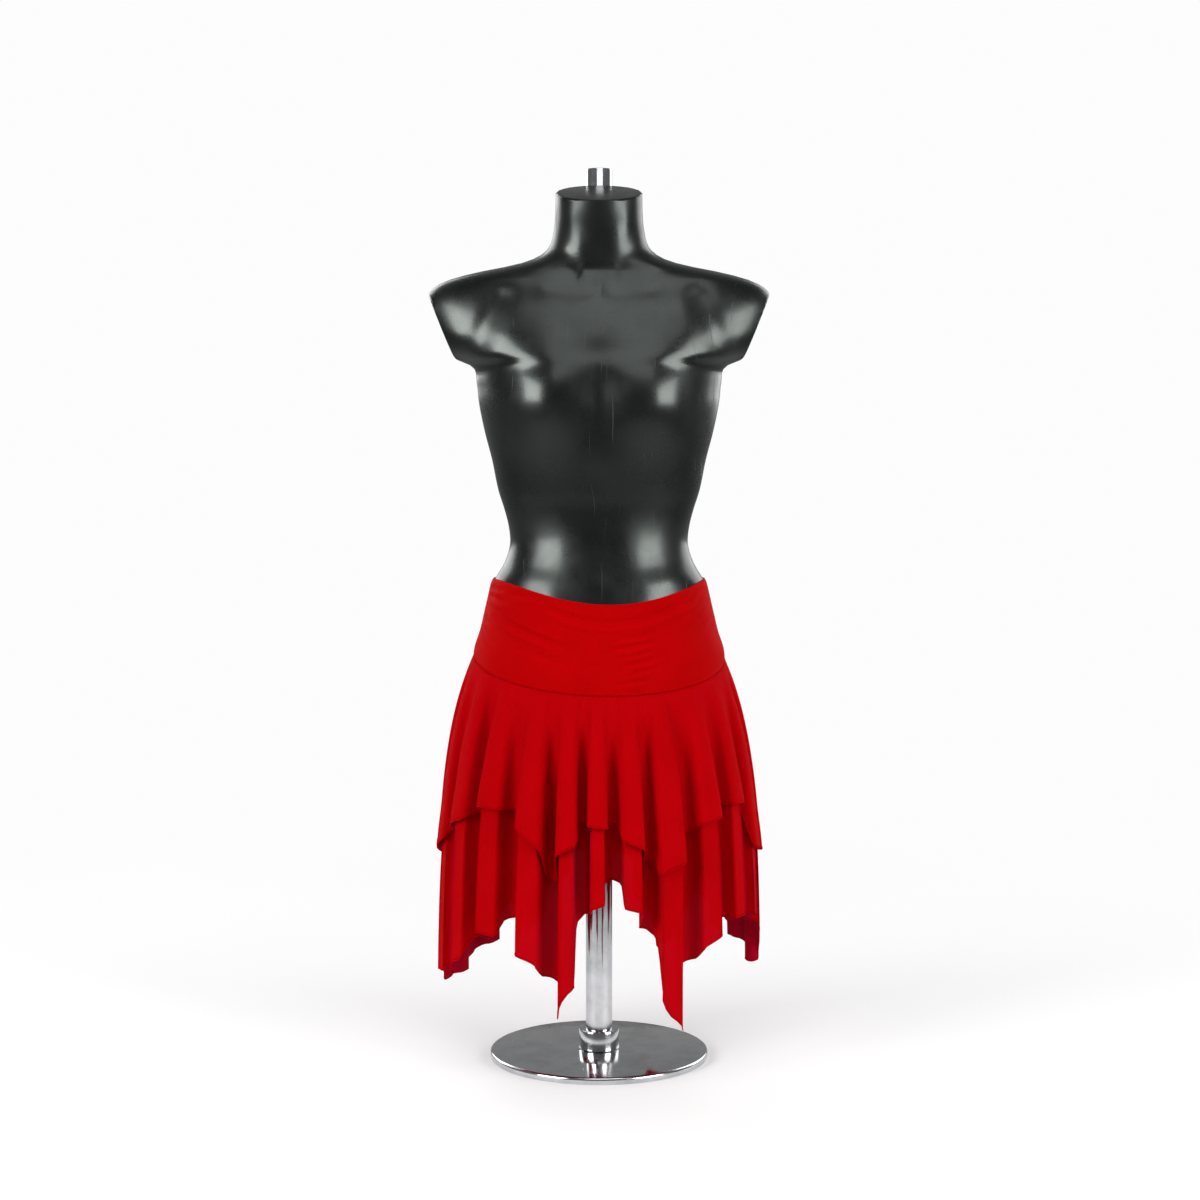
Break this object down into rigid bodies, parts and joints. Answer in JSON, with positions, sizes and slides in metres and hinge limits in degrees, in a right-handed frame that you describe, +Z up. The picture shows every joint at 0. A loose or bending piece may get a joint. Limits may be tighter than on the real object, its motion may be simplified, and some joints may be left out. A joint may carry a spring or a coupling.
{
  "type": "dance skirt on dress form",
  "caption": "Red two-tier dance skirt with scooped stretch yoke and handkerchief hem, worn by a limbless black dress form on a round-based stand.",
  "frame": {"origin": "on the underside of the round base, straight below the middle of the torso", "axes": "+Z up, the wearer's front towards -Y, the wearer's left towards +X"},
  "size_m": [0.422, 0.3323, 1.128],
  "materials": {
    "red_jersey": "smooth stretch jersey, soft sheen",
    "red_mesh": "fine sheer stretch mesh, matt with a soft sheen",
    "black_plastic": "glossy moulded shell with fine handling scratches",
    "chrome_steel": "polished"
  },
  "bodies": {
    "root": {"yoke_front": "red_jersey", "yoke_back": "red_jersey", "upper_tier_front": "red_mesh", "upper_tier_back": "red_mesh", "lower_tier_front": "red_mesh", "lower_tier_back": "red_mesh", "dress_form": "black_plastic", "stand_pole": "chrome_steel", "base_collar": "chrome_steel", "form_collar": "chrome_steel", "stand_base": "chrome_steel"}
  },
  "joints": []
}
